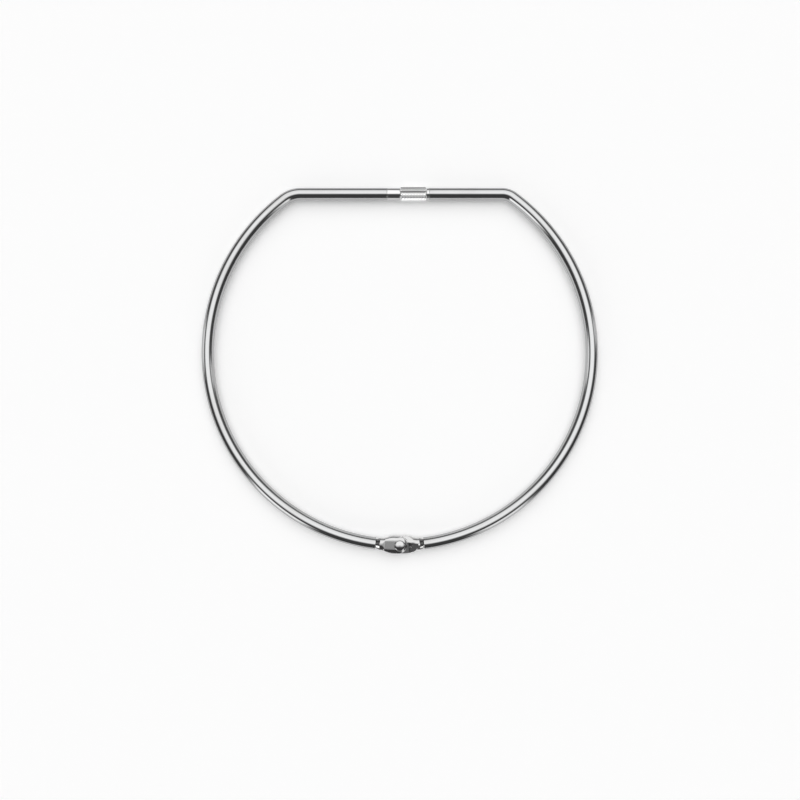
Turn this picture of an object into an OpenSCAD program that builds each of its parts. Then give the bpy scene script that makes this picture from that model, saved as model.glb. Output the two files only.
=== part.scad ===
// Large hinged key ring with a knurled screw closure.
// Two bent tubes meet at a riveted half-lap hinge and are closed on a straight bar.
// It lies flat: +Z is up, +Y points from the hinge to the closing bar, and the origin is
// on the surface under the middle of the whole ring.

/* [Ring] */
// Radius of the round part, to the middle of the tube
ring_r = 81; // [60:0.5:110]
// How far the closing bar lies inside the full circle
flat_drop = 14; // [8:0.5:20]
// Radius of the left bend beside the bar, to the middle of the tube
left_bend_r = 12; // [7:0.5:14]
// Radius of the right bend beside the bar, to the middle of the tube
right_bend_r = 8; // [7:0.5:14]
// How much slimmer the tube is drawn in the bends, all round
bend_draw = 0.02; // [0.01:0.01:0.05]
// Outer diameter of the tube
tube_d = 5.2; // [4:0.1:7]
// Wall of the tube
tube_wall = 0.7; // [0.5:0.05:1]
// Length of each fitting's spigot inside the tube
spigot_len = 8; // [5:0.5:14]
// Gap round a spigot in the tube, filled by solder
spigot_gap = 0.03; // [0.02:0.01:0.1]

/* [Closure] */
// Place of the sleeve's mouth, right of the ring's middle
mouth_x = 0.3; // [-4:0.1:4]
// Outer diameter of the knurled sleeve
sleeve_d = 6.1; // [5:0.1:9]
// Length of the knurled sleeve
sleeve_len = 10.9; // [8:0.1:16]
// Thickness of the sleeve's closed end, which turns on the spindle
end_wall = 2.2; // [1.5:0.1:3]
// Chamfer at both ends of the sleeve
sleeve_chamfer = 0.3; // [0.1:0.05:0.5]
// Number of knurled diamonds along the sleeve
knurl_rows = 9; // [6:1:14]
// Number of knurled diamonds round the sleeve
knurl_round = 16; // [10:1:24]
// Depth of the grooves between the diamonds
knurl_depth = 0.25; // [0.1:0.05:0.4]
// Length of the polished neck beside the mouth
neck_len = 5.5; // [3:0.1:12]
// Diameter of the screw stud over its thread
stud_d = 3.8; // [3:0.1:4.2]
// Length of the screw stud
stud_len = 5; // [3:0.1:5.5]
// Gap round the stud in the sleeve, which also lets it leave on the hinge's arc
stud_gap = 0.2; // [0.15:0.01:0.4]
// Diameter of the spindle where the sleeve turns on it
journal_d = 2.4; // [1.8:0.1:2.8]
// Length of the spindle's peened head inside the sleeve
head_len = 1.4; // [0.8:0.1:2]
// Gap round the peened head in the sleeve
head_gap = 0.25; // [0.1:0.05:0.5]
// Width of the spindle's collar on the end of the tube
end_collar = 1; // [0.6:0.1:3]
// Play along the sleeve at each end
end_play = 0.1; // [0.05:0.01:0.2]

/* [Hinge] */
// Width of a hinge leaf
leaf_w = 7.4; // [6:0.1:9]
// Thickness of a hinge leaf
leaf_t = 2.3; // [2:0.05:2.8]
// Radius of the leaf's long edges on its outer face
edge_r = 2.1; // [1:0.05:2.1]
// Radius of the leaf's long edges on the side of the lap
lap_edge_r = 0.5; // [0.3:0.05:1]
// Distance from the rivet back to the middle of the leaf's round end
end_back = 0.6; // [0:0.1:2]
// Distance from the rivet to where the leaf starts to narrow
waist_start = 2.6; // [2:0.1:4]
// How much sooner than the leaf's full width its flat face is full, seen from the shank
flat_lead = 5; // [1:0.5:6]
// Length over which the leaf narrows to the round shank
waist_len = 5.2; // [3.5:0.1:6]
// Gap between the side of one leaf and the other leaf's shoulder, when fully open
shoulder_gap = 0.1; // [0.05:0.05:0.3]
// Length of the ramp from the lap face up to the full shank
ramp_len = 4.2; // [3.5:0.1:6]
// Radius at the foot of the ramp
ramp_foot_r = 1.5; // [0.5:0.1:3]
// Distance from the leaf's middle line to the wall beside the ramp, towards the ring's middle
wall_y = 1.2; // [0.8:0.1:2]
// The same distance where the wall meets the taper
wall_end_y = 0.3; // [0:0.1:0.7]
// Slope of the bevel on that wall, in degrees
wall_slope = 18; // [10:1:25]
// Length of plain shank before the taper
shank_len = 0.5; // [0.4:0.1:3]
// How much slimmer than the tube the shank is, all round
shank_step = 0.1; // [0.05:0.05:0.3]
// Length of the taper from the shank down to the spigot in the tube's mouth
taper_len = 1.7; // [1:0.1:2.5]
// Gap between the two lap faces
lap_gap = 0.06; // [0.04:0.01:0.2]
// Diameter of the rivet's shank
rivet_d = 2.4; // [1.8:0.1:3]
// Diameter of the rivet's heads
rivet_head_d = 4.6; // [4:0.1:5.5]
// Radius of the crown of the heads
rivet_crown_r = 6; // [4:0.5:12]
// Radius between the crown and the rim
rivet_edge_r = 0.6; // [0.3:0.05:1]
// Height of the straight rim
rivet_rim = 0.05; // [0.03:0.01:0.3]

/* [Fits] */
// Gap round a shaft that turns in a bore
run_gap = 0.04; // [0.02:0.01:0.1]
// Gap round a shank that is held fast
hold_gap = 0.01; // [0.005:0.005:0.02]

/* [Hidden] */
$fn = 64;

// Ring outline, measured from the middle of the full circle
tube_r = tube_d / 2;
bore_r = tube_r - tube_wall;
bar_y = ring_r - flat_drop;

// Hinge leaf, measured from the rivet
shank_r = tube_r - shank_step;
shoulder_x = leaf_w / 2 + shoulder_gap;
ramp_end = shoulder_x + ramp_len;
waist_end = waist_start + waist_len;
taper_x = max(ramp_end, waist_end) + shank_len;
leaf_tilt = asin(waist_end / (2 * ring_r));

// Angles on the ring, measured from the rivet
shank_a = 2 * leaf_tilt;
taper_a = taper_x / ring_r * 180 / PI;
tube_end_a = (taper_x + taper_len) / ring_r * 180 / PI;
spigot_a = spigot_len / ring_r * 180 / PI;

// Closure, measured along the bar
neck_x = mouth_x - end_play - neck_len;
sleeve_end = mouth_x + sleeve_len;
right_tube_x = sleeve_end + end_play + end_collar;
thread_r = stud_d / 2 + stud_gap;
head_r = thread_r - head_gap;
cavity_end = sleeve_end - end_wall;

// Rivet: the rounded edge touches the crown from inside
edge_x = rivet_head_d / 2 - rivet_edge_r;
crown_z = rivet_rim - sqrt(pow(rivet_crown_r - rivet_edge_r, 2) - pow(edge_x, 2));
head_h = crown_z + rivet_crown_r;

// Where the ring lies
rest_z = max(sleeve_d / 2, tube_r, leaf_t + run_gap + head_h);
far_y = bar_y + max(sleeve_d / 2, tube_r);
near_y = -ring_r - leaf_w / 2;
ring_y = -(far_y + near_y) / 2;

// Puts a child that is drawn round the full circle's middle in its place
module place() {
    translate([0, ring_y, rest_z]) children();
}

// Sweeps a section round the ring, between two angles measured from the rivet
module round_sweep(from_a, to_a) {
    rotate([0, 0, from_a - 90])
        rotate_extrude(angle = to_a - from_a)
            translate([ring_r, 0]) children();
}

// A solid turned about the bar's line, from points [radius, place along the bar]
module turned(points) {
    translate([0, bar_y, 0])
        rotate([0, 90, 0])
            rotate_extrude() polygon(points);
}

// The run of a right-hand arm at one radius: round stretch, bend and half of the closing bar
module arm_run(bar_start, bend_r, r) {
    lap_a = 2;
    bend_y = bar_y - bend_r;
    bend_x = sqrt(pow(ring_r - bend_r, 2) - pow(bend_y, 2));
    bend_a = atan2(bend_x, bend_y);
    round_sweep(tube_end_a, 180 - bend_a) circle(r = r);
    translate([bend_x, bend_y, 0])
        rotate([0, 0, 90 - bend_a - lap_a])
            rotate_extrude(angle = bend_a + 2 * lap_a)
                translate([bend_r, 0]) circle(r = r - bend_draw);
    translate([bar_start, bar_y, 0])
        rotate([0, 90, 0])
            cylinder(h = bend_x - bar_start, r = r);
}

module arm(bar_start, bend_r) {
    color("silver")
        difference() {
            arm_run(bar_start, bend_r, tube_r);
            arm_run(bar_start, bend_r, bore_r);
        }
}

module left_arm() {
    place() mirror([1, 0, 0]) arm(-neck_x, left_bend_r);
}

module right_arm() {
    place() arm(right_tube_x, right_bend_r);
}

// Side view of what is cut away below the upper leaf: the lap, then a ramp with a rounded foot
module lap_profile(depth) {
    ramp_a = atan2(tube_d, 2 * ramp_len);
    foot = ramp_foot_r * tan(ramp_a / 2);
    difference() {
        polygon([
            [-shoulder_x, lap_gap / 2],
            [leaf_w, lap_gap / 2],
            [leaf_w, -depth],
            [-shoulder_x - depth / tan(ramp_a), lap_gap / 2 - depth],
        ]);
        translate([-shoulder_x, lap_gap / 2])
            difference() {
                polygon([[foot, 0], [0, 0], [-foot * cos(ramp_a), -foot * sin(ramp_a)]]);
                translate([foot, -ramp_foot_r]) circle(r = ramp_foot_r);
            }
    }
}

// The lap: a round seat for the other leaf's end, open beyond the rivet, and the ramp beside a wall
// that slants towards the shank's middle
module lap_cut() {
    depth = 2 * leaf_w;
    translate([0, 0, lap_gap / 2 - depth]) cylinder(h = depth, r = shoulder_x);
    translate([0, -leaf_w, lap_gap / 2 - depth]) cube([leaf_w, 2 * leaf_w, depth]);
    intersection() {
        translate([0, wall_y, 0])
            rotate([90, 0, 0])
                linear_extrude(depth) lap_profile(depth);
        translate([0, 0, -depth])
            linear_extrude(2 * depth)
                polygon([
                    [2 * leaf_w, depth],
                    [-shoulder_x, depth],
                    [-shoulder_x, wall_y],
                    [-taper_x, wall_end_y],
                    [-2 * taper_x, wall_end_y],
                    [-2 * taper_x, -depth],
                    [2 * leaf_w, -depth],
                ]);
    }
}

// The bevel of the wall beside the ramp, falling away from the ramp
module wall_bevel() {
    translate([-ramp_end, wall_y, -leaf_t])
        rotate([wall_slope, 0, 0])
            translate([0, -leaf_t, -leaf_t]) cube([ramp_end, leaf_w, leaf_t]);
}

// Section of a leaf as points [across, up], in four quarters: a slab with rounded edges, of one
// radius above and another below. Past the middle of the round end it is the section of a disc
function leaf_section(half_w, half_t, upper_r, lower_r, past) =
    let (steps = 6, least = 0.02)
    [
        for (quarter = [0:3], i = [0:steps])
            let (
                side = quarter == 0 || quarter == 3 ? 1 : -1,
                up = quarter < 2 ? 1 : -1,
                r = quarter < 2 ? upper_r : lower_r,
                flat_w = half_w - r,
                top_a = past > flat_w ? acos((past - flat_w) / r) : 90,
                a = top_a * (quarter % 2 == 0 ? i : steps - i) / steps,
                across = sqrt(max(pow(flat_w + r * cos(a), 2) - pow(past, 2), pow(least, 2)))
            )
            [side * across, up * (half_t - r + r * sin(a))]
    ];

function blend(from, to, share) = from + (to - from) * share;

// The flattened end of a leaf, before the lap is cut, pointing from the rivet to -X.
// Stations run from inside the round shank, along a half cosine to the slab, to the round end.
// The flat face reaches its full width sooner than the leaf
module leaf_blade() {
    root_len = 0.3;
    root_half = shank_r - 0.02;
    root_r = root_half - 0.03;
    waist_steps = 10;
    end_steps = 8;
    end_a = 88;
    stations = [
        [-waist_end - root_len, leaf_section(root_half, root_half, root_r, root_r, 0)],
        for (i = [0:waist_steps])
            let (
                share = (1 - cos(180 * i / waist_steps)) / 2,
                half_w = blend(root_half, leaf_w / 2, share),
                flat_share = min(1, flat_lead * share),
                flat_w = blend(root_half - root_r, leaf_w / 2 - edge_r, flat_share)
            )
            [
                blend(-waist_end, -waist_start, i / waist_steps),
                leaf_section(
                    half_w,
                    blend(root_half, leaf_t, flat_share),
                    half_w - flat_w,
                    blend(root_r, lap_edge_r, share),
                    0
                ),
            ],
        for (i = [0:end_steps])
            let (past = leaf_w / 2 * sin(end_a * i / end_steps))
            [past - end_back, leaf_section(leaf_w / 2, leaf_t, edge_r, lap_edge_r, past)],
    ];
    round_n = len(stations[0][1]);
    last = len(stations) - 1;
    polyhedron(
        points = [for (s = stations, p = s[1]) [s[0], p[0], p[1]]],
        faces = [
            [for (i = [0:round_n - 1]) i],
            [for (i = [round_n - 1:-1:0]) last * round_n + i],
            for (s = [0:last - 1], i = [0:round_n - 1])
                let (a = s * round_n + i, b = s * round_n + (i + 1) % round_n)
                each [[a, a + round_n, b], [b, a + round_n, b + round_n]],
        ]
    );
}

// Half section of the taper, with a root inside the end of the shank
module taper_section() {
    root_len = 0.3;
    root_r = shank_r - 0.02;
    polygon([
        [0, -root_len],
        [root_r, -root_len],
        [root_r, 0],
        [bore_r - 2 * spigot_gap, taper_len],
        [0, taper_len],
    ]);
}

// The left leaf, on top; the right one is the same part turned over
module hinge_leaf() {
    spigot_r = bore_r - spigot_gap;
    color("gainsboro")
        difference() {
            union() {
                translate([0, -ring_r, 0]) rotate([0, 0, -leaf_tilt]) leaf_blade();
                mirror([1, 0, 0]) {
                    round_sweep(shank_a, taper_a) circle(r = shank_r);
                    round_sweep(shank_a, tube_end_a + spigot_a) circle(r = spigot_r);
                    rotate([0, 0, taper_a])
                        translate([0, -ring_r, 0])
                            rotate([0, 90, 0])
                                rotate_extrude() taper_section();
                }
            }
            translate([0, -ring_r, 0])
                rotate([0, 0, -leaf_tilt]) {
                    lap_cut();
                    wall_bevel();
                }
            translate([0, -ring_r, -leaf_w]) cylinder(h = 2 * leaf_w, r = rivet_d / 2 + hold_gap);
        }
}

module left_hinge_leaf() {
    place() hinge_leaf();
}

module right_hinge_leaf() {
    place()
        difference() {
            rotate([0, 180, 0]) hinge_leaf();
            color("gainsboro")
                translate([0, -ring_r, -leaf_w]) cylinder(h = 2 * leaf_w, r = rivet_d / 2 + run_gap);
        }
}

// A rivet head on its seat: a low crown with a rounded edge
module rivet_head() {
    crown_a = asin(edge_x / (rivet_crown_r - rivet_edge_r));
    rotate_extrude()
        intersection() {
            square([rivet_head_d / 2, head_h]);
            union() {
                square([rivet_head_d / 2, rivet_rim]);
                translate([edge_x, rivet_rim]) circle(r = rivet_edge_r);
                intersection() {
                    translate([0, crown_z]) circle(r = rivet_crown_r);
                    polygon([
                        [0, crown_z],
                        [rivet_crown_r * tan(crown_a), crown_z + rivet_crown_r],
                        [0, crown_z + rivet_crown_r],
                    ]);
                }
            }
        }
}

module hinge_rivet() {
    place()
        translate([0, -ring_r, 0])
            color("whitesmoke") {
                translate([0, 0, -leaf_t - run_gap]) cylinder(h = 2 * leaf_t + run_gap, d = rivet_d);
                translate([0, 0, leaf_t]) rivet_head();
                translate([0, 0, -leaf_t - run_gap]) mirror([0, 0, 1]) rivet_head();
            }
}

// Spigot in the left tube, polished neck and screw stud
module threaded_stud() {
    spigot_r = bore_r - spigot_gap;
    chamfer = stud_d / 10;
    place()
        color("whitesmoke")
            turned([
                [0, neck_x - spigot_len],
                [spigot_r, neck_x - spigot_len],
                [spigot_r, neck_x],
                [tube_r, neck_x],
                [tube_r, neck_x + neck_len],
                [stud_d / 2, neck_x + neck_len],
                [stud_d / 2, neck_x + neck_len + stud_len - chamfer],
                [stud_d / 2 - chamfer, neck_x + neck_len + stud_len],
                [0, neck_x + neck_len + stud_len],
            ]);
}

// Spigot in the right tube, collar, journal and peened head
module swivel_spindle() {
    spigot_r = bore_r - spigot_gap;
    head_x = cavity_end - end_play;
    place()
        color("lightgray")
            turned([
                [0, head_x - head_len],
                [head_r, head_x - head_len],
                [head_r, head_x],
                [journal_d / 2, head_x],
                [journal_d / 2, sleeve_end + end_play],
                [tube_r, sleeve_end + end_play],
                [tube_r, right_tube_x],
                [spigot_r, right_tube_x],
                [spigot_r, right_tube_x + spigot_len],
                [0, right_tube_x + spigot_len],
            ]);
}

// Diamond knurl along X: rings of points, by turns on a tip and in a groove crossing
module knurl_blank() {
    ring_n = 2 * knurl_rows + 2;
    round_n = 2 * knurl_round;
    step = sleeve_len / (2 * knurl_rows);
    polyhedron(
        points = [
            for (i = [0:ring_n - 1], j = [0:round_n - 1])
                let (
                    r = sleeve_d / 2 - ((i + j) % 2) * knurl_depth,
                    a = j * 360 / round_n
                )
                [(i - 0.5) * step, r * cos(a), r * sin(a)],
        ],
        faces = [
            [for (j = [0:round_n - 1]) j],
            [for (j = [round_n - 1:-1:0]) (ring_n - 1) * round_n + j],
            for (i = [0:ring_n - 2], j = [0:round_n - 1])
                let (
                    a = i * round_n + j,
                    b = i * round_n + (j + 1) % round_n,
                    c = a + round_n,
                    d = b + round_n
                )
                each (i + j) % 2 == 1 ? [[a, c, d], [a, d, b]] : [[a, c, b], [b, c, d]],
        ]
    );
}

module knurled_sleeve() {
    crest = sleeve_d / 2 + knurl_depth;
    slope = sleeve_chamfer + knurl_depth;
    place()
        color("darkgray")
            intersection() {
                translate([mouth_x, bar_y, 0]) knurl_blank();
                turned([
                    [thread_r, mouth_x],
                    [crest - slope, mouth_x],
                    [crest, mouth_x + slope],
                    [crest, sleeve_end - slope],
                    [crest - slope, sleeve_end],
                    [journal_d / 2 + run_gap, sleeve_end],
                    [journal_d / 2 + run_gap, cavity_end],
                    [thread_r, cavity_end],
                ]);
            }
}

left_arm();
right_arm();
left_hinge_leaf();
right_hinge_leaf();
hinge_rivet();
threaded_stud();
swivel_spindle();
knurled_sleeve();
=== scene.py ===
import bmesh
import bpy
import numpy as np
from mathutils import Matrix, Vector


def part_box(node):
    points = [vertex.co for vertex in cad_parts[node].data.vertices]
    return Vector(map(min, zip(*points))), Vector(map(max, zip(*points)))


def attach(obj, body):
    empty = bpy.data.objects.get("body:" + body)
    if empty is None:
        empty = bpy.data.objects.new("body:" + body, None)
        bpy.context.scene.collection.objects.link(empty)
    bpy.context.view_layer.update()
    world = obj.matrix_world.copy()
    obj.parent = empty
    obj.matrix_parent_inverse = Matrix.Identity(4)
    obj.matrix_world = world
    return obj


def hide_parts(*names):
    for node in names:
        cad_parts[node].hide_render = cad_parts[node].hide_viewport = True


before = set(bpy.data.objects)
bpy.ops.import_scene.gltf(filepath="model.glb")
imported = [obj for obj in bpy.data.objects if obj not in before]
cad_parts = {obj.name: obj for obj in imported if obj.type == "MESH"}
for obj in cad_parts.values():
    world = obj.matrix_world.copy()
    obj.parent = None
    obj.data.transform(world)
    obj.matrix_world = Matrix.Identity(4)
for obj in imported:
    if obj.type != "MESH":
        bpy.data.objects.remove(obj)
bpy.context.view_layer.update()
print("frame loaded:", len(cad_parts), "nodes")

mm = 0.001
cm = 0.01
turn = 2 * np.pi

rivetLow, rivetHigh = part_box("hinge_rivet")
sleeveLow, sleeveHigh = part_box("knurled_sleeve")
pivotY = (rivetLow[1] + rivetHigh[1]) / 2  # the rivet stands at x = 0
barY = (sleeveLow[1] + sleeveHigh[1]) / 2  # line of the straight bar
tubeZ = (sleeveLow[2] + sleeveHigh[2]) / 2  # height of the tube's middle line
mouthX, sleeveEnd = sleeveLow[0], sleeveHigh[0]

ring = dict(
    radius=81 * mm,  # middle line of the round part
    leftBend=12 * mm,  # middle line of the bends beside the bar
    rightBend=8 * mm,
    tubeRadius=2.6 * mm,
    tubeWall=0.7 * mm,
    spigotLength=8 * mm,  # of the plugs in the tubes' ends
    spigotGap=0.03 * mm,
    spigotRounding=0.3 * mm,
    endRounding=0.12 * mm,  # broken edges of the tube's ends
    step=0.8 * mm,  # spacing of the stations along a tube
    around=72,
)
ringY = pivotY + ring["radius"]  # middle of the full circle
boreRadius = ring["tubeRadius"] - ring["tubeWall"]
spigotRadius = boreRadius - ring["spigotGap"]


def column(values):
    return np.reshape(values, (-1, 1))


def gridPiece(name, points, uv, closedAlong=False, creaseAngle=35, diagonal=None):
    # points[i, j] is a grid of rings: i runs along the piece, and j runs round it and closes.
    # A ring shrunk to one point is a pole. uv has one row and one column more, for the seams
    rings, around = points.shape[:2]
    index = np.arange(rings * around).reshape(rings, around)
    last = rings if closedAlong else rings - 1
    here, there = index[:last], np.roll(index, -1, axis=0)[:last]
    a, b = here, np.roll(here, -1, axis=1)
    d, c = there, np.roll(there, -1, axis=1)
    uvA, uvB, uvC, uvD = uv[:last, :-1], uv[:last, 1:], uv[1:last + 1, 1:], uv[1:last + 1, :-1]
    if diagonal is None:
        faces = np.stack([a, b, c, d], -1).reshape(-1, 4)
        corners = np.stack([uvA, uvB, uvC, uvD], -2).reshape(-1, 2)
    else:  # each square is cut from a to c where diagonal is true, and from b to d elsewhere
        pick = diagonal[..., None]
        first = np.where(pick, np.stack([a, b, c], -1), np.stack([a, b, d], -1))
        second = np.where(pick, np.stack([a, c, d], -1), np.stack([b, c, d], -1))
        faces = np.stack([first, second], -2).reshape(-1, 3)
        pick = diagonal[..., None, None]
        firstUv = np.where(pick, np.stack([uvA, uvB, uvC], -2), np.stack([uvA, uvB, uvD], -2))
        secondUv = np.where(pick, np.stack([uvA, uvC, uvD], -2), np.stack([uvB, uvC, uvD], -2))
        corners = np.stack([firstUv, secondUv], -3).reshape(-1, 2)
    mesh = bpy.data.meshes.new(name)
    mesh.from_pydata(points.reshape(-1, 3).tolist(), [], faces.tolist())
    mesh.uv_layers.new(name="surface").data.foreach_set("uv", corners.astype(np.float32).ravel())
    work = bmesh.new()
    work.from_mesh(mesh)
    bmesh.ops.remove_doubles(work, verts=work.verts, dist=1e-7)
    bmesh.ops.recalc_face_normals(work, faces=work.faces)
    work.to_mesh(mesh)
    work.free()
    mesh.shade_smooth()
    mesh.set_sharp_from_angle(angle=np.radians(creaseAngle))
    piece = bpy.data.objects.new(name, mesh)
    bpy.context.scene.collection.objects.link(piece)
    return piece


def ringsAlong(path, radii, around):
    # point(i, j) = centre(i) + radius(i, j) * (cos(angle j) * normal(i) + sin(angle j) * binormal(i))
    centres, normals, binormals = path
    angle = np.arange(around) / around * turn
    outward = np.cos(angle)[:, None] * normals[:, None] + np.sin(angle)[:, None] * binormals[:, None]
    radii = np.broadcast_to(np.reshape(radii, (len(centres), -1)), (len(centres), around))
    return centres[:, None] + radii[..., None] * outward


def uvAlong(profile, around, radius, closedAlong=False):
    # u is the length along the profile and v the way round it, both in centimetres
    if closedAlong:
        profile = np.vstack([profile, profile[:1]])
    lengths = np.concatenate([[0], np.cumsum(np.hypot(*np.diff(profile, axis=0).T))])
    wayRound = np.linspace(0, turn * radius, around + 1)
    return np.stack(np.meshgrid(lengths, wayRound, indexing="ij"), -1) / cm


def roundedProfile(corners, steps=5, closed=False):
    # corners are (place, radius, rounding). A rounded corner becomes an arc of that radius that
    # touches both of its sides, and one with no rounding stays sharp
    corners = np.array(corners, float)
    points = []
    for i, (place, radius, rounding) in enumerate(corners):
        here = np.array([place, radius])
        if rounding == 0:
            points.append(here[None])
            continue
        before = corners[i - 1, :2] - here
        after = corners[(i + 1) % len(corners), :2] - here
        before, after = before / np.linalg.norm(before), after / np.linalg.norm(after)
        half = np.arccos(np.clip(before @ after, -1, 1)) / 2
        middle = here + (before + after) / np.linalg.norm(before + after) * rounding / np.sin(half)
        start = here + before * rounding / np.tan(half) - middle
        end = here + after * rounding / np.tan(half) - middle
        opening = np.pi - 2 * half
        share = np.linspace(0, 1, steps)[:, None]
        arc = np.sin((1 - share) * opening) * start + np.sin(share * opening) * end
        points.append(middle + arc / np.sin(opening))
    points = np.vstack(points)
    return np.vstack([points, points[:1]]) if closed else points


def stationsOn(profile, step):
    # adds points to the long stretches of a profile, no more than a step apart
    dense = [profile[:1]]
    for start, end in zip(profile[:-1], profile[1:]):
        count = max(1, int(np.ceil(np.linalg.norm(end - start) / step)))
        dense.append(start + (end - start) * (np.arange(1, count + 1) / count)[:, None])
    return np.vstack(dense)


def turnedPiece(name, path, profile, around=64, closedAlong=False, creaseAngle=35):
    # A profile of (place along the path, radius) carried round the path's line
    if closedAlong:
        profile = profile[:-1]
    points = ringsAlong(path(profile[:, 0]), profile[:, 1], around)
    uv = uvAlong(profile, around, ring["tubeRadius"], closedAlong)
    return gridPiece(name, points, uv, closedAlong, creaseAngle)


def bendPlaces(bendRadius):
    # Where a bend of this radius touches the full circle, from the circle's middle
    bendY = barY - ringY - bendRadius
    bendX = np.sqrt((ring["radius"] - bendRadius)**2 - bendY**2)
    return bendX, bendY, np.arctan2(bendX, bendY)


def armPath(side, bendRadius):
    # The middle line of an arm, by its length from the rivet: an arc of the full circle, a bend,
    # then the straight bar towards the middle. side is 1 for the right arm and -1 for the left
    radius = ring["radius"]
    bendAngle = bendPlaces(bendRadius)[2]
    roundLength, bendLength = radius * (np.pi - bendAngle), bendRadius * bendAngle

    def path(lengths):
        onRound = np.minimum(lengths, roundLength) / radius
        onBend = np.clip(lengths - roundLength, 0, bendLength) / bendRadius
        onBar = np.maximum(lengths - roundLength - bendLength, 0)
        heading = onRound + onBend
        x = radius * np.sin(onRound) + bendRadius * (np.sin(heading) - np.sin(onRound)) - onBar
        y = -radius * np.cos(onRound) - bendRadius * (np.cos(heading) - np.cos(onRound))
        flat = np.zeros_like(x)
        centres = np.stack([side * x, ringY + y, flat + tubeZ], -1)
        normals = np.stack([side * np.sin(heading), -np.cos(heading), flat], -1)
        return centres, normals, np.stack([flat, flat, flat + 1], -1)

    return path


def armLength(bendRadius, barEnd):
    # Length of an arm's middle line, from the rivet to |x| = barEnd on the bar
    bendX, _, bendAngle = bendPlaces(bendRadius)
    return ring["radius"] * (np.pi - bendAngle) + bendRadius * bendAngle + bendX - barEnd


def barPath(places):
    # The line of the closing bar, by x
    flat = np.zeros_like(places)
    centres = np.stack([places, flat + barY, flat + tubeZ], -1)
    return centres, np.stack([flat, flat + 1, flat], -1), np.stack([flat, flat, flat + 1], -1)


def rivetPath(heights):
    # The rivet's axis, by height over the tube's middle line
    flat = np.zeros_like(heights)
    centres = np.stack([flat, flat + pivotY, heights + tubeZ], -1)
    return centres, np.stack([flat + 1, flat, flat], -1), np.stack([flat, flat + 1, flat], -1)


def makeArm(name, side, bendRadius, barEnd):
    start, end = leaf["tubeEnd"], armLength(bendRadius, barEnd)
    outer, rounding = ring["tubeRadius"], ring["endRounding"]
    profile = roundedProfile([
        (start, outer, rounding),
        (end, outer, rounding),
        (end, boreRadius, rounding / 2),
        (start, boreRadius, rounding / 2),
    ], closed=True)
    profile = stationsOn(profile, ring["step"])
    return turnedPiece(name, armPath(side, bendRadius), profile, ring["around"], closedAlong=True)


leaf = dict(
    width=7.4 * mm,
    halfThickness=2.3 * mm,
    outerEdge=2.1 * mm,  # roundings of the long edges, outside and beside the lap
    lapEdge=0.5 * mm,
    edgeRise=0.6,  # height of a rounding against its width, except on the lap's narrow edges
    tipSlope=0.28,  # of the bevel round the tip's inner side
    bevelStart=1.2 * mm,  # place where that bevel begins, and the length in which it grows full
    bevelGrowth=2 * mm,
    bevelReach=0.2,  # how far it goes on past the middle of the tip
    endBack=0.6 * mm,  # from the rivet back to the middle of the round end
    waistStart=2.6 * mm,
    waistEnd=7.8 * mm,  # here the leaf has become the round shank
    shankRadius=2.5 * mm,
    lapGap=0.06 * mm,
    seatRadius=3.8 * mm,  # the round seat for the other leaf's end
    rampLength=4.2 * mm,
    rampFoot=1.5 * mm,
    flatLead=5,  # how much sooner than the full width the flat face is full
    wallPlace=1.2 * mm,  # from the middle line to the wall beside the ramp, at the seat
    wallEnd=0.3 * mm,  # and where the wall meets the taper
    wallSlope=18,  # bevel of that wall, in degrees
    taperStart=8.5 * mm,
    taperRadius=1.84 * mm,
    tubeEnd=10.2 * mm,
    brokenEdge=0.08 * mm,  # along the top of the wall
    spigotTip=0.88,  # radius of the spigot's end against its own
    step=0.12 * mm,
)


def lapFloor(places):
    # Height of the lap by place: level, then a fillet, then a ramp down to under the shank
    slope = ring["tubeRadius"] / leaf["rampLength"]
    half = np.tan(np.arctan(slope) / 2) * leaf["rampFoot"]
    onFillet = np.clip(places - leaf["seatRadius"] + half, 0, None)
    fillet = leaf["rampFoot"] - np.sqrt(np.maximum(leaf["rampFoot"]**2 - onFillet**2, 0))
    filletEnd = leaf["rampFoot"] * np.sin(np.arctan(slope))
    ramp = (places - leaf["seatRadius"]) * slope
    return leaf["lapGap"] / 2 - np.where(onFillet < filletEnd, fillet, ramp)


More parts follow.
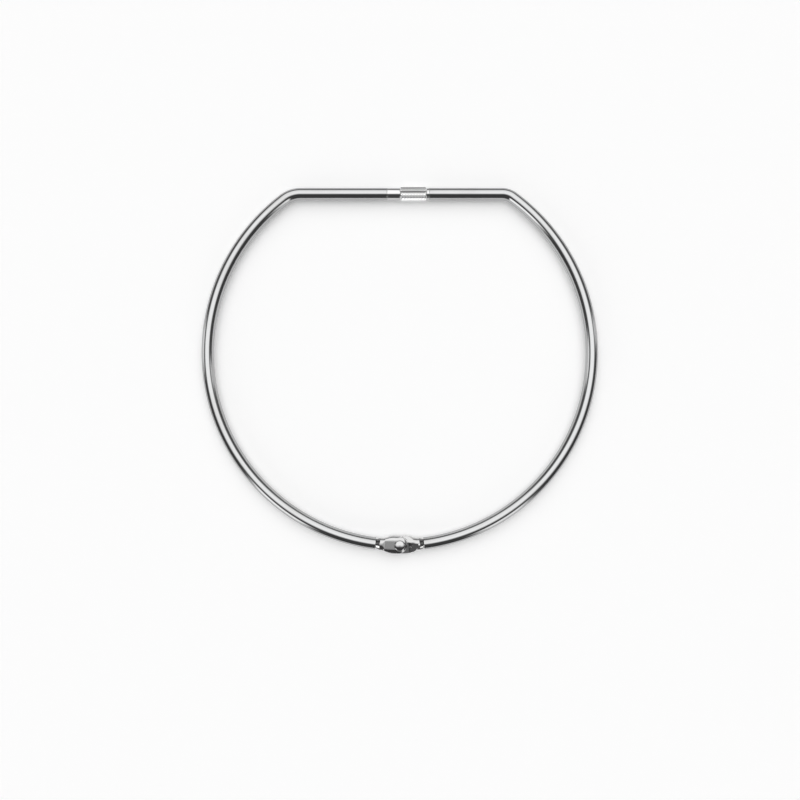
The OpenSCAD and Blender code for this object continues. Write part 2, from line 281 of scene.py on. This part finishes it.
def leafSections(places, spigot):
    # Sections of a leaf as (across, up), closed, the same number of points in each.
    # Outside it is a slab whose long edges are quarter ellipses. It blends into the round shank
    # along a half cosine. Past the middle of the round end it is the section of a disc with the
    # same rim, and a plain bevel takes the rim's place round the inner side of the tip.
    # Below it is the higher of the slab's own underside, the lap up to the wall, and the bevel
    # beyond the wall. The wall follows the round seat and then slants in beside the ramp
    share = np.clip((places - leaf["waistStart"]) / (leaf["waistEnd"] - leaf["waistStart"]), 0, 1)
    share = (1 - np.cos(np.pi * share)) / 2
    taper = np.clip((places - leaf["taperStart"]) / (leaf["tubeEnd"] - leaf["taperStart"]), 0, 1)
    turned = leaf["shankRadius"] + (leaf["taperRadius"] - leaf["shankRadius"]) * taper
    turned = np.where(np.isnan(spigot), turned, spigot)
    flatShare = np.minimum(1, leaf["flatLead"] * (1 - share))
    halfWidth = leaf["width"] / 2 * (1 - share) + turned * share
    halfHeight = leaf["halfThickness"] * flatShare + turned * (1 - flatShare)
    outer = halfWidth - (leaf["width"] / 2 - leaf["outerEdge"]) * flatShare
    lower = leaf["lapEdge"] * (1 - share) + turned * share
    rise = np.where(places < leaf["taperStart"], leaf["edgeRise"], 1)
    lowerRise = 1 - (1 - rise) * share
    past = np.clip(leaf["endBack"] - places, 0, leaf["width"] / 2)
    safe = np.maximum(outer, 1e-9)
    topAngle = np.arccos(np.clip((past - halfWidth + outer) / safe, 0, 1))
    angle = column(topAngle) * np.linspace(0, 1, 18)
    reach = column(halfWidth - outer) + column(outer) * np.cos(angle)
    reach = np.sqrt(np.maximum(reach**2 - column(past)**2, 0))
    nearTip = column(np.clip((leaf["bevelStart"] - places) / leaf["bevelGrowth"], 0, 1))

    def rim(side):
        # height of one rounded edge: side is 1 towards the ring's middle and -1 away from it
        inward = side * reach / np.maximum(np.hypot(reach, column(past)), 1e-9)
        bevelShare = np.clip(inward + leaf["bevelReach"], 0, 1) * nearTip
        ellipse = column(rise) * (1 - np.sin(angle))
        drop = ellipse * (1 - bevelShare) + leaf["tipSlope"] * np.cos(angle) * bevelShare
        return column(halfHeight) - column(outer) * drop

    top = reach[:, -1:] * np.linspace(-1, 1, 9)[None, 1:-1]
    across = [-reach, top, reach[:, ::-1]]
    up = [rim(-1), rim(1)[:, -1:] + 0 * top, rim(1)[:, ::-1]]
    # the underside, from the inner edge to the wall and from the wall to the other edge
    half = np.sqrt(np.maximum(halfWidth**2 - past**2, 0))
    onSeat = np.sqrt(np.maximum(leaf["seatRadius"]**2 - places**2, 0))
    slant = np.clip((places - leaf["seatRadius"]) / (leaf["taperStart"] - leaf["seatRadius"]), 0, 1)
    wall = leaf["wallPlace"] + (leaf["wallEnd"] - leaf["wallPlace"]) * slant
    wall = np.minimum(np.maximum(onSeat, wall), half)
    wall = np.where(places < 0, half, wall)
    # the round taper has no wall, and any line of its underside serves
    wall = np.minimum(wall, np.where(places > leaf["taperStart"], half * 0.5, half))
    half, wall = column(half), column(wall)
    broken = np.minimum(leaf["brokenEdge"], half - wall)
    spread = (1 + np.cos(np.linspace(0, np.pi, 18)[None])) / 2
    beyond = wall + broken + (half - wall - broken) * spread
    spread = (1 + np.cos(np.linspace(0, np.pi, 34)[None])) / 2
    inside = -half + (wall + half) * spread
    wallRise = np.tan(np.radians(leaf["wallSlope"]))
    bevel = lambda y: (y - leaf["wallPlace"]) * wallRise - leaf["halfThickness"]

    def under(y):
        onEdge = np.clip(np.abs(y) - column(halfWidth - lower), 0, column(lower))
        drop = np.sqrt(np.maximum(column(lower)**2 - onEdge**2, 0)) * column(lowerRise)
        return column(lower * lowerRise - halfHeight) - drop

    floor = column(lapFloor(places))
    behind = np.maximum(under(beyond), bevel(beyond))
    edge = np.maximum(under(wall), bevel(wall))
    edge = np.minimum(edge + broken, np.maximum(floor, edge))
    # where the wall has run off the side, what is beyond it shrinks to a point on the lap
    noWall = half - wall < 1e-9
    behind, edge = (np.where(noWall, np.maximum(side, floor), side) for side in (behind, edge))
    across += [beyond, wall, inside]
    up += [behind, edge, np.maximum(under(inside), floor)]
    return np.hstack(across), np.hstack(up)


def makeLeaf(name, side):
    # side is -1 for the left leaf, which lies on top, and 1 for the right one, turned over
    endAngle = np.radians(np.linspace(90, 0, 30))[:-1]
    roundEnd = leaf["endBack"] - leaf["width"] / 2 * np.sin(endAngle)
    wallStart = np.sqrt(leaf["seatRadius"]**2 - leaf["width"]**2 / 4)
    corner = np.sqrt(leaf["seatRadius"]**2 - leaf["wallPlace"]**2)
    marks = [leaf["endBack"], wallStart, corner, leaf["taperStart"], leaf["tubeEnd"] - 1e-6]
    blade = np.arange(leaf["endBack"] + leaf["step"], leaf["tubeEnd"], leaf["step"])
    blade = np.array(sorted([*blade, *marks]))
    spigotEnd = leaf["tubeEnd"] + ring["spigotLength"]
    spigotPlaces = [leaf["tubeEnd"], spigotEnd - ring["spigotRounding"], spigotEnd, spigotEnd]
    places = np.concatenate([roundEnd, blade, spigotPlaces])
    spigot = np.full(len(places), np.nan)
    spigot[-4:] = spigotRadius * np.array([1, 1, leaf["spigotTip"], 0])
    widths, heights = leafSections(places, spigot)
    # the middle line: a chord from the rivet to the ring's circle, then the circle itself
    radius = ring["radius"]
    tilt = np.arcsin(leaf["waistEnd"] / (2 * radius))
    share = np.clip((places - leaf["waistStart"]) / (leaf["waistEnd"] - leaf["waistStart"]), 0, 1)
    onCircle = 2 * tilt + (places - leaf["waistEnd"]) / radius
    onChord = places <= leaf["waistEnd"]
    heading = np.where(onChord, tilt * (1 + share**2 * (3 - 2 * share)), onCircle)
    x = np.where(onChord, places * np.cos(tilt), radius * np.sin(onCircle))
    y = np.where(onChord, places * np.sin(tilt), radius * (1 - np.cos(onCircle)))
    points = np.stack([
        side * (column(x) - widths * column(np.sin(heading))),
        pivotY + column(y) + widths * column(np.cos(heading)),
        tubeZ - side * heights,
    ], -1)
    around = points.shape[1]
    uv = uvAlong(np.stack([places, 0 * places], -1), around, ring["tubeRadius"])
    return gridPiece(name, points, uv, creaseAngle=25)


# what the rivet and the pieces of the closure share
fits = dict(
    runGap=0.04 * mm,  # between pieces that turn on each other
    endPlay=0.1 * mm,  # at each end of the sleeve
    journalRadius=1.2 * mm,  # of the spindle where the sleeve turns on it
    threadPitch=0.7 * mm,
    shoulderRounding=0.2 * mm,  # of the collars that face the sleeve
)

rivetShape = dict(
    shank=1.2 * mm,
    headRadius=2.3 * mm,
    crownRadius=6 * mm,
    edgeRadius=0.6 * mm,
    rim=0.05 * mm,
)


def makeRivet(name):
    # A head is a low crown whose rounded edge touches it from inside, on a short straight rim
    shape = rivetShape
    edgePlace = shape["headRadius"] - shape["edgeRadius"]
    inner = shape["crownRadius"] - shape["edgeRadius"]
    crownHeight = shape["rim"] - np.sqrt(inner**2 - edgePlace**2)
    meet = np.arcsin(edgePlace / inner)
    crown, edge = np.linspace(0, meet, 10), np.linspace(meet, np.pi / 2, 12)
    heights = np.concatenate([
        crownHeight + shape["crownRadius"] * np.cos(crown),
        shape["rim"] + shape["edgeRadius"] * np.cos(edge[1:]), [0],
    ])
    radii = np.concatenate([
        shape["crownRadius"] * np.sin(crown), edgePlace + shape["edgeRadius"] * np.sin(edge[1:]),
        [shape["headRadius"]],
    ])
    top = leaf["halfThickness"]
    bottom = top + fits["runGap"]
    under = np.stack([-bottom - heights, radii], -1)
    over = np.stack([top + heights, radii], -1)
    shank = [(-bottom, shape["shank"]), (top, shape["shank"])]
    profile = np.vstack([under, shank, over[::-1]])
    return turnedPiece(name, rivetPath, profile, creaseAngle=30)


studShape = dict(
    neckLength=5.5 * mm,
    radius=1.9 * mm,
    length=5 * mm,
    threadDepth=0.36 * mm,
    threadRunOut=1.2 * mm,  # here the thread dies away at the neck
    threadLead=0.5 * mm,  # and here it starts at the tip
    fine=14,  # stations in one pitch
    around=72,
)
neckEnd = mouthX - fits["endPlay"]
neckX = neckEnd - studShape["neckLength"]


def makeStud(name):
    # Turned from one bar: spigot, neck, and a screw thread whose radius falls and rises once for
    # each pitch, measured along the stud less the part of a turn
    shape, around, pitch = studShape, studShape["around"], fits["threadPitch"]
    root, tip = shape["radius"] - shape["threadDepth"], neckEnd + shape["length"]
    body = roundedProfile([
        (neckX - ring["spigotLength"], 0, 0),
        (neckX - ring["spigotLength"], spigotRadius, ring["spigotRounding"]),
        (neckX, spigotRadius, 0),
        (neckX, ring["tubeRadius"], ring["endRounding"]),
        (neckEnd, ring["tubeRadius"], fits["shoulderRounding"]),
        (neckEnd, root, 0),
    ])
    body = stationsOn(body, ring["step"])
    places = np.arange(neckEnd, tip, pitch / shape["fine"])
    phase = (column(places) / pitch - np.arange(around) / around) % 1
    thread = np.clip(1.25 - 2.5 * np.abs(phase - 0.5), 0, 1) * shape["threadDepth"]
    fromNeck, fromTip = (places - neckEnd) / shape["threadRunOut"], (tip - places) / shape["threadLead"]
    fromEnds = np.minimum(fromNeck, fromTip)
    crest = shape["radius"] - shape["threadDepth"] * (1 - column(np.clip(fromEnds, 0, 1)))
    screw = np.minimum(crest, root + thread)
    places = np.concatenate([body[:, 0], places, [tip, tip]])
    endRadii = column([screw[-1].min(), 0])
    radii = np.vstack([np.repeat(body[:, 1:], around, 1), screw, np.repeat(endRadii, around, 1)])
    points = ringsAlong(barPath(places), radii, around)
    uv = uvAlong(np.stack([places, radii[:, 0]], -1), around, ring["tubeRadius"])
    return gridPiece(name, points, uv)


spindleShape = dict(
    collar=1 * mm,
    headRadius=1.85 * mm,
    headLength=1.4 * mm,
    peenedEdge=0.5 * mm,
    innerEdge=0.1 * mm,
)
spindleX = sleeveEnd + fits["endPlay"]
rightTubeX = spindleX + spindleShape["collar"]


def makeSpindle(name):
    # Turned from one bar: head, journal, collar and spigot
    headX = cavityEnd - fits["endPlay"]
    head, journal = spindleShape["headRadius"], fits["journalRadius"]
    profile = roundedProfile([
        (headX - spindleShape["headLength"], 0, 0),
        (headX - spindleShape["headLength"], head, spindleShape["peenedEdge"]),
        (headX, head, spindleShape["innerEdge"]),
        (headX, journal, 0),
        (spindleX, journal, 0),
        (spindleX, ring["tubeRadius"], fits["shoulderRounding"]),
        (rightTubeX, ring["tubeRadius"], ring["endRounding"]),
        (rightTubeX, spigotRadius, 0),
        (rightTubeX + ring["spigotLength"], spigotRadius, ring["spigotRounding"]),
        (rightTubeX + ring["spigotLength"], 0, 0),
    ])
    return turnedPiece(name, barPath, stationsOn(profile, ring["step"]))


sleeveShape = dict(
    radius=3.05 * mm,
    endWall=2.2 * mm,
    chamfer=0.3 * mm,
    threadRadius=2.1 * mm,
    threadDepth=0.25 * mm,
    threadRunOut=0.6 * mm,  # here the thread dies away at the mouth
    threadStart=0.25 * mm,  # these three from the mouth
    threadEnd=5.5 * mm,
    cavityStart=5.6 * mm,
    mouthChamfer=0.2 * mm,
    knurlRows=9,  # diamonds in a line along the sleeve
    knurlRound=16,  # diamonds in a ring round it
    knurlDepth=0.25 * mm,
    knurlShift=0.25,  # of a diamond, along the sleeve
    knurlFloor=0.04,  # where the grooves' floors are flat, as a share of the diamonds' height
    knurlFlat=0.95,  # and where their points are cut off
    knurlFine=6,  # grid squares in half a diamond
)
cavityEnd = sleeveEnd - sleeveShape["endWall"]


def makeSleeve(name):
    # Outside, two families of grooves run round the sleeve in opposite helices. A point's height is
    # its distance from the nearest groove, cut off at the floor and at the top, and the end
    # chamfers cap it. Inside, from the far end back to the mouth: journal bore, cavity and thread
    shape, pitch = sleeveShape, fits["threadPitch"]
    fine, rows = shape["knurlFine"], shape["knurlRows"]
    around = 2 * shape["knurlRound"] * fine
    along = column(np.arange(2 * rows * fine + 1) / (2 * fine))
    way = np.arange(around) / (2 * fine)
    fromPoint = lambda turns: np.abs((turns + 0.5) % 1 - 0.5) * 2
    down = fromPoint(along + way + shape["knurlShift"])
    up = fromPoint(along - way + shape["knurlShift"])
    height = np.clip(1 - np.maximum(down, up), shape["knurlFloor"], shape["knurlFlat"])
    outer = shape["radius"] - shape["knurlDepth"] * (shape["knurlFlat"] - height)
    places = mouthX + along[:, 0] / rows * (sleeveEnd - mouthX)
    fromEnd = column(np.minimum(places - mouthX, sleeveEnd - places))
    outer = np.minimum(outer, shape["radius"] - shape["chamfer"] + fromEnd)
    journal, cavity = fits["journalRadius"] + fits["runGap"], shape["threadRadius"]
    inner = np.array([
        (sleeveEnd, journal),
        (cavityEnd, journal),
        (cavityEnd, cavity),
        (mouthX + shape["cavityStart"], cavity),
    ])
    inner = stationsOn(inner, ring["step"])
    threadPlaces = np.arange(mouthX + shape["threadEnd"], mouthX + shape["threadStart"], -pitch / 10)
    phase = (column(threadPlaces) / pitch - np.arange(around) / around) % 1
    depth = shape["threadDepth"] * np.clip(1.2 - 2.4 * np.abs(phase - 0.5), 0, 1)
    thread = cavity + depth * column(np.clip((threadPlaces - mouthX) / shape["threadRunOut"], 0, 1))
    mouthPlaces = [mouthX + shape["mouthChamfer"], mouthX]
    mouthRadii = [cavity, cavity + shape["mouthChamfer"]]
    allPlaces = np.concatenate([places, inner[:, 0], threadPlaces, mouthPlaces])
    repeated = lambda values: np.repeat(column(values), around, 1)
    radii = np.vstack([outer, repeated(inner[:, 1]), thread, repeated(mouthRadii)])
    points = ringsAlong(barPath(allPlaces), radii, around)
    uv = uvAlong(np.stack([allPlaces, radii[:, 0]], -1), around, shape["radius"], True)
    # the cut of each square follows the groove that runs through it
    diamond = (np.arange(len(allPlaces)) + fine // 2) // fine
    diagonal = (column(diamond) + np.arange(around) // fine) % 2 == 1
    return gridPiece(name, points, uv, closedAlong=True, creaseAngle=28, diagonal=diagonal)


class Wire:
    # A socket in a node tree, so that arithmetic on values adds Math nodes
    def __init__(self, tree, socket=None):
        self.tree, self.socket = tree, socket

    def make(self, kind, settings=None, inputs=None, output=0):
        # adds any other node: its settings first, then the values or links of its sockets
        node = self.tree.nodes.new(kind)
        for key, value in (settings or {}).items():
            if key == "stops":
                elements = node.color_ramp.elements
                while len(elements) < len(value):
                    elements.new(0.5)
                for element, (place, colour) in zip(elements, value):
                    element.position, element.color = place, colour
            else:
                setattr(node, key, value)
        for key, value in (inputs or {}).items():
            if isinstance(value, Wire):
                self.tree.links.new(value.socket, node.inputs[key])
            else:
                node.inputs[key].default_value = value
        return Wire(self.tree, node.outputs[output] if node.outputs else None)

    def math(self, operation, *values):
        return self.make("ShaderNodeMath", {"operation": operation}, dict(enumerate(values)))

    def __add__(self, other):
        return self.math("ADD", self, other)

    def __sub__(self, other):
        return self.math("SUBTRACT", self, other)

    def __rsub__(self, other):
        return self.math("SUBTRACT", other, self)

    def __mul__(self, other):
        return self.math("MULTIPLY", self, other)

    def __truediv__(self, other):
        return self.math("DIVIDE", self, other)

    __radd__ = __add__

    def absolute(self):
        return self.math("ABSOLUTE", self)

    def atLeast(self, other):
        return self.math("MAXIMUM", self, other)

    def vector(self, operation, other=(0, 0, 0), output=0):
        return self.make("ShaderNodeVectorMath", {"operation": operation}, {0: self, 1: other}, output)

    def dot(self, other):
        return self.vector("DOT_PRODUCT", other, "Value")

    def step(self, low, high, atLow=0.0, atHigh=1.0):
        # a smooth step from one value to another
        return self.make("ShaderNodeMapRange", {"interpolation_type": "SMOOTHSTEP"},
                         {"Value": self, 1: low, 2: high, 3: atLow, 4: atHigh})

    def colours(self, first, second):
        # this value mixes two colours
        return self.make("ShaderNodeMix", {"data_type": "RGBA"}, {0: self, 6: first, 7: second}, 2)

    def scaled(self, factors):
        return self.vector("MULTIPLY", factors)

    def noise(self, scale, detail):
        return self.make("ShaderNodeTexNoise", {},
                         {"Vector": self, "Scale": scale, "Detail": detail, "Roughness": 0.5})

    def coordinates(self, kind):
        return self.make("ShaderNodeTexCoord", {}, {}, kind)

    def bumped(self, strength):
        # this value as fine relief
        depth = 0.02 * mm
        return self.make("ShaderNodeBump", {}, {"Strength": strength, "Distance": depth, "Height": self})


def newMaterial(name):
    material = bpy.data.materials.new(name)
    material.use_nodes = True
    tree = material.node_tree
    tree.nodes.clear()
    return material, Wire(tree)


def finishSurface(start, constants, links):
    # one Principled shader: constants stand on its own sockets, links vary over the surface
    shader = start.make("ShaderNodeBsdfPrincipled", {}, {**constants, **links}, "BSDF")
    start.make("ShaderNodeOutputMaterial", {}, {"Surface": shader})


def grey(level, warmth=0.0):
    return (level * (1 + warmth), level, level * (1 - warmth), 1)


def platedTube():
    # Bright plate over drawn tube: faint lines along the tube, a slight haze in patches
    look = dict(
        level=0.44,
        warmth=-0.006,
        hazeLevel=0.94,  # against the level
        roughness=0.09,
        hazeRoughness=0.05,  # what the haze and the lines add
        lineRoughness=0.03,
        hazeScale=55,
        lineScale=(1.2, 60, 1),
        relief=0.05,
    )
    material, start = newMaterial("platedTube")
    lines = start.coordinates("UV").scaled(look["lineScale"]).noise(1.0, 3.0)
    haze = start.coordinates("Object").noise(look["hazeScale"], 3.0).step(0.42, 0.7)
    roughness = look["roughness"] + haze * look["hazeRoughness"] + (lines - 0.5) * look["lineRoughness"]
    colour = haze.colours(grey(look["level"], look["warmth"]), grey(look["level"] * look["hazeLevel"]))
    finishSurface(start, {"Metallic": 1.0},
                  {"Base Color": colour, "Roughness": roughness, "Normal": lines.bumped(look["relief"])})
    return material


def polishedFitting(name, level, roughness):
    # Buffed and plated: very smooth, with hair lines round the turned surface
    look = dict(
        hazeLevel=0.95,
        hazeRoughness=0.03,
        lineRoughness=0.03,
        hazeScale=120,
        lineScale=(90, 1.5, 1),
    )
    material, start = newMaterial(name)
    lines = start.coordinates("UV").scaled(look["lineScale"]).noise(1.0, 2.0)
    haze = start.coordinates("Object").noise(look["hazeScale"], 3.0).step(0.45, 0.75)
    roughness = roughness + lines * look["lineRoughness"] + haze * look["hazeRoughness"]
    colour = haze.colours(grey(level), grey(level * look["hazeLevel"]))
    finishSurface(start, {"Metallic": 1.0}, {"Base Color": colour, "Roughness": roughness})
    return material


def hingeSteel():
    # Plated forging: satin on the flats, a little uneven all over. Painted shade on the flats, the seat
    # and the taper, and painted highlights on the ramp, the seat and the taper
    look = dict(
        level=0.44,
        patchLevel=0.93,  # against the level
        patchWarmth=0.005,
        flatPaintedShade=0.3,
        flatFacing=(0.97, 0.995),  # how nearly upright a surface is where the flats begin
        rampPaintedHighlight=0.78,
        rampEdge=(0.63, 0.65),  # where the lap begins, as a share of the way round the section
        # painted shade on the seat between the two leaves, and a painted highlight on one side of it
        seatPaintedShade=0.13,
        seatBand=(0.1 * mm, 0.3 * mm),  # heights over and under the middle where the seat ends
        seatPaintedHighlight=0.85,  # of the seat's painted highlight side
        seatHighlightEdge=(0.7 * mm, 1.3 * mm),  # where that begins, from the rivet's line
        taperLevel=0.8,
        # shares of that across the bar, from its outer side to its inner: painted shade, a painted
        # highlight band, then painted shade
        taperShares=[(0, 0.2), (0.18, 0.2), (0.26, 1), (0.4, 1),
                     (0.48, 0.5), (0.6, 0.5), (0.72, 0.25), (1, 0.25)],
        taperMiddle=0.6 * mm,  # middle and width of the band that they fill, from the rivet's line
        taperWidth=5.2 * mm,
        roughness=0.09,
        flatRoughness=0.06,  # what the flats, the patches, the grain and the seat add
        patchRoughness=0.04,
        grainRoughness=0.05,
        seatRoughness=0.2,
        taperPolish=0.6,
        patchScale=160,
        grainScale=900,
        relief=0.12,
    )
    material, start = newMaterial("hingeSteel")
    place, surface = start.coordinates("Object"), start.coordinates("UV")
    height = place.dot((0, 0, 1)) - tubeZ
    inSeat = height.absolute().step(*look["seatBand"], 1.0, 0.0)
    fromRivet = place.dot((0, 1, 0)) - pivotY
    along = surface.dot((cm, 0, 0)) - (leaf["width"] / 2 - leaf["endBack"])
    onTaper = along.step(leaf["taperStart"] - 0.1 * mm, leaf["taperStart"])
    upward = start.make("ShaderNodeNewGeometry", {}, {}, "Normal").dot((0, 0, 1))
    flats = upward.absolute().step(*look["flatFacing"])
    grain = place.noise(look["grainScale"], 3.0)
    patches = place.noise(look["patchScale"], 2.0).step(0.4, 0.7)
    roughness = look["roughness"] + flats * look["flatRoughness"] + patches * look["patchRoughness"]
    roughness = roughness + (grain - 0.5) * look["grainRoughness"]
    roughness = roughness * (1 - onTaper * look["taperPolish"]) + inSeat * look["seatRoughness"]
    patched = grey(look["level"] * look["patchLevel"], look["patchWarmth"])
    colour = patches.colours(grey(look["level"]), patched)
    # painted shade: surfaces that face straight up or down get a darker colour
    colour = flats.colours(colour, grey(look["flatPaintedShade"]))
    # the lap is the last third of the way round, and its ramp gets a painted highlight
    wayRound = surface.dot((0, cm, 0)) / (turn * ring["tubeRadius"])
    rampStart = leaf["seatRadius"] + 0.1 * mm
    onRamp = wayRound.step(*look["rampEdge"]) * along.step(rampStart, rampStart + 0.3 * mm)
    colour = onRamp.colours(colour, grey(look["rampPaintedHighlight"]))
    # round the taper by place across the bar: painted bands of light and shade, from painted shade at
    # the outer side through a painted highlight to painted shade at the inner side
    across = (fromRivet - look["taperMiddle"]) / look["taperWidth"] + 0.5
    stops = [(at, grey(look["taperLevel"] * share)) for at, share in look["taperShares"]]
    paintedTaperBands = across.make("ShaderNodeValToRGB", {"stops": stops}, {"Fac": across}, "Color")
    # the seat between the two leaves: painted shade, with a painted highlight on its side towards the
    # ring's middle
    seatHighlightSide = fromRivet.step(*look["seatHighlightEdge"])
    seat = seatHighlightSide.colours(grey(look["seatPaintedShade"]), grey(look["seatPaintedHighlight"]))
    colour = inSeat.colours(onTaper.colours(colour, paintedTaperBands), seat)
    finishSurface(start, {"Metallic": 1.0},
                  {"Base Color": colour, "Roughness": roughness, "Normal": grain.bumped(look["relief"])})
    return material


def knurledSteel():
    # Plated knurl: tops rubbed bright, grooves duller
    look = dict(
        topLevel=0.94,
        grooveLevel=0.74,
        roughness=0.03,
        grooveRoughness=0.04,  # what the grooves and the grain add
        grainRoughness=0.04,
        grainScale=1200,
    )
    material, start = newMaterial("knurledSteel")
    place = start.coordinates("Object")
    # distance from the sleeve's own line
    offLine = place.vector("SUBTRACT", (0, barY, tubeZ)).scaled((0, 1, 1))
    radius = offLine.vector("LENGTH", output="Value")
    low = sleeveShape["radius"] - sleeveShape["knurlDepth"] * sleeveShape["knurlFlat"]
    top = radius.step(low, sleeveShape["radius"])
    grain = place.noise(look["grainScale"], 2.0)
    colour = top.colours(grey(look["grooveLevel"]), grey(look["topLevel"]))
    roughness = look["roughness"] + (1 - top) * look["grooveRoughness"] + grain * look["grainRoughness"]
    finishSurface(start, {"Metallic": 1.0}, {"Base Color": colour, "Roughness": roughness})
    return material


def dress(piece, node, body, material):
    piece.data.materials.append(material)
    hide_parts(node)
    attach(piece, body)


tubeFinish = platedTube()
fittingFinish = polishedFitting("polishedFitting", level=0.58, roughness=0.05)
rivetFinish = polishedFitting("rivetSteel", level=0.44, roughness=0.06)
hingeFinish, knurlFinish = hingeSteel(), knurledSteel()
leftArm = makeArm("leftTube", -1, ring["leftBend"], -neckX)
rightArm = makeArm("rightTube", 1, ring["rightBend"], rightTubeX)
print("tubes made")
leftLeaf, rightLeaf = makeLeaf("leftLeaf", -1), makeLeaf("rightLeaf", 1)
rivet = makeRivet("rivet")
print("hinge made")
stud, spindle, sleeve = makeStud("stud"), makeSpindle("spindle"), makeSleeve("sleeve")
print("closure made")
dress(leftArm, "left_arm", "left_half", tubeFinish)
dress(rightArm, "right_arm", "right_half", tubeFinish)
dress(leftLeaf, "left_hinge_leaf", "left_half", hingeFinish)
dress(rightLeaf, "right_hinge_leaf", "right_half", hingeFinish)
dress(rivet, "hinge_rivet", "left_half", rivetFinish)
dress(stud, "threaded_stud", "left_half", fittingFinish)
dress(spindle, "swivel_spindle", "right_half", fittingFinish)
dress(sleeve, "knurled_sleeve", "closing_sleeve", knurlFinish)

studio = dict(
    floorSize=4.0,
    floorLevel=0.97,  # how pale the floor is
    floorLift=0.2,  # what is added where it is seen, so that the floor reads as white
    aroundFront=0.085,  # the dark room between the lights
    aroundBack=0.18,
)
# Each soft light as seen from the ring: bearing from +X, angle from straight up, half width and
# half height in degrees, brightness, and how soft its sides and its ends are in degrees
softLights = dict(
    overhead=(90, 13.5, 34, 24.5, 1.85, 12, 13),
    overheadBack=(90, 42, 31, 20, 1.75, 10, 16),
    frontLeft=(229.5, 69, 10, 18, 2.0, 4, 6),
    frontRight=(304, 69, 8.5, 18, 1.75, 4, 7),
    left=(174.5, 74, 7, 16, 1.4, 4, 6),
    right=(10, 70, 4, 20, 1.05, 3, 6),
)
# What the camera hides of the light behind it, as a soft rectangle too
cameraShade = (270, 13, 8, 9, 0.3, 4, 5)


def isSeen(start):
    # Three values that are 1 for camera rays, for mirror rays and for glass rays
    path = start.make("ShaderNodeLightPath", {}, {}, "Is Camera Ray")
    glossy = Wire(path.tree, path.socket.node.outputs["Is Glossy Ray"])
    through = Wire(path.tree, path.socket.node.outputs["Is Transmission Ray"])
    return path, glossy, through


def softLight(direction, bearing, fromUp, halfWidth, halfHeight, brightness, softSide, softEnd):
    # A soft rectangle on the sky, measured on a plane square to its own direction: how far a
    # direction lies from its middle, sideways and upward, each faded out past the half width
    bearing, fromUp = np.radians(bearing), np.radians(fromUp)
    middle = (np.sin(fromUp) * np.cos(bearing), np.sin(fromUp) * np.sin(bearing), np.cos(fromUp))
    sideways = (-np.sin(bearing), np.cos(bearing), 0)
    upward = (-np.cos(fromUp) * np.cos(bearing), -np.cos(fromUp) * np.sin(bearing), np.sin(fromUp))
    facing = direction.dot(middle)
    distance = facing.atLeast(0.01)
    x = (direction.dot(sideways) / distance).absolute()
    y = (direction.dot(upward) / distance).absolute()
    tangent = lambda degrees: float(np.tan(np.radians(degrees)))
    inX = x.step(tangent(halfWidth - softSide), tangent(halfWidth + softSide), 1.0, 0.0)
    inY = y.step(tangent(halfHeight - softEnd), tangent(halfHeight + softEnd), 1.0, 0.0)
    return inX * inY * facing.math("GREATER_THAN", facing, 0.05) * brightness


def lightStudio():
    world = bpy.data.worlds.new("studio")
    bpy.context.scene.world = world
    world.use_nodes = True
    world.node_tree.nodes.clear()
    start = Wire(world.node_tree)
    direction = start.coordinates("Generated")
    total = None
    for light in softLights.values():
        one = softLight(direction, *light)
        total = one if total is None else total.atLeast(one)
    total = total * (1 - softLight(direction, *cameraShade))
    around = direction.dot((0, 1, 0)).step(-0.5, 0.8, studio["aroundFront"], studio["aroundBack"])
    total = total.atLeast(around)
    seen = isSeen(start)[0]
    strength = total * (1 - seen) + seen
    shade = start.make("ShaderNodeBackground", {}, {"Color": grey(1.0), "Strength": strength})
    start.make("ShaderNodeOutputWorld", {}, {"Surface": shade})


def layFloor():
    half = studio["floorSize"] / 2
    mesh = bpy.data.meshes.new("floor")
    corners = [(-half, -half, 0), (half, -half, 0), (half, half, 0), (-half, half, 0)]
    mesh.from_pydata(corners, [], [(0, 1, 2, 3)])
    floor = bpy.data.objects.new("floor", mesh)
    bpy.context.scene.collection.objects.link(floor)
    material, start = newMaterial("paleFloor")
    camera, glossy, through = isSeen(start)
    lift = (camera + glossy + through) * studio["floorLift"]
    chalk = {"Base Color": grey(studio["floorLevel"]), "Roughness": 0.9, "Specular IOR Level": 0.0}
    finishSurface(start, {**chalk, "Emission Color": grey(1.0)}, {"Emission Strength": lift})
    floor.data.materials.append(material)


def placeCamera():
    # It looks straight down. Height is over the ring's middle line, and width is what it sees there
    view = dict(x=0.1 * mm, y=-12.56 * mm, height=350 * mm, width=337.5 * mm)
    data = bpy.data.cameras.new("camera")
    data.sensor_fit = "HORIZONTAL"
    data.angle = 2 * np.arctan(view["width"] / 2 / view["height"])
    data.clip_start = 0.01
    camera = bpy.data.objects.new("camera", data)
    bpy.context.scene.collection.objects.link(camera)
    camera.location = (view["x"], view["y"], tubeZ + view["height"])
    bpy.context.scene.camera = camera


lightStudio()
layFloor()
placeCamera()
bpy.context.scene.view_settings.view_transform = "Standard"
print("studio ready")
